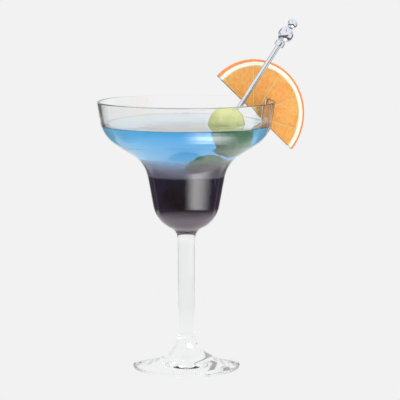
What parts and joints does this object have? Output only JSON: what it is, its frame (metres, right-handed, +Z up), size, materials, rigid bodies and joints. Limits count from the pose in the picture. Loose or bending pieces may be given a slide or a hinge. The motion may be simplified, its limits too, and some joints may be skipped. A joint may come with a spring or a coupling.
{
  "type": "margarita",
  "caption": "Layered cocktail in a stemmed glass with a wide bowl over a deep well, olives on a metal pick, and half an orange wheel slit onto the rim.",
  "frame": {"origin": "centre of the foot's underside, on the glass's upright axis and on the table", "axes": "+Z up along the glass's axis; +X to the side where the pick and the orange slice lean out; -Y towards the viewer"},
  "size_m": [0.1336, 0.1138, 0.2244],
  "materials": {
    "clear_glass": "clear, polished",
    "blue_drink": "clear blue liquid",
    "clouded_drink": "clouded lavender grey liquid",
    "dark_drink": "dark aubergine liquid",
    "olive_flesh": "wet, smooth",
    "polished_steel": "polished",
    "orange_flesh": "moist cut fruit"
  },
  "bodies": {
    "root": {"glass": "clear_glass", "drink_blue": "blue_drink", "drink_blend": "clouded_drink", "drink_dark": "dark_drink", "olive_top": "olive_flesh", "olive_middle": "olive_flesh", "olive_bottom": "olive_flesh", "cocktail_pick": "polished_steel", "orange_slice": "orange_flesh"}
  },
  "joints": []
}
